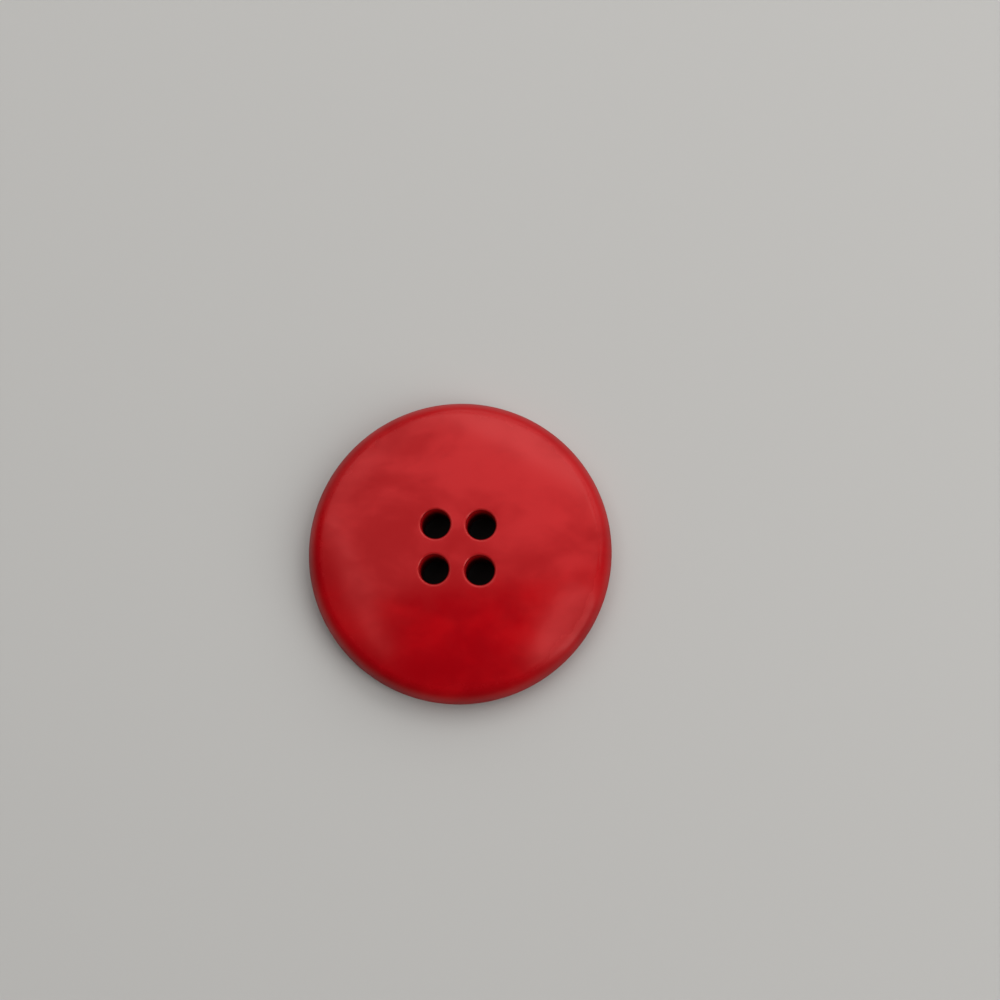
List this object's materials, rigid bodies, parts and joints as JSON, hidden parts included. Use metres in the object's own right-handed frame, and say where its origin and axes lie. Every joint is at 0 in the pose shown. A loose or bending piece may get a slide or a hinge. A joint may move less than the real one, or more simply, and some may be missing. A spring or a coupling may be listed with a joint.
{
  "type": "sewing button",
  "caption": "Round sew-through button of glossy red plastic with a gently domed face, a rounded rim and thread holes through its middle.",
  "frame": {"origin": "centre of the flat back, where the button lies on the cloth", "axes": "+Z out of the middle of the domed face, +X along one row of thread holes"},
  "size_m": [0.023, 0.023, 0.004],
  "materials": {
    "red_plastic": "polished red plastic with a soft, slightly cloudy shine"
  },
  "bodies": {
    "root": {"button": "red_plastic"}
  },
  "joints": []
}
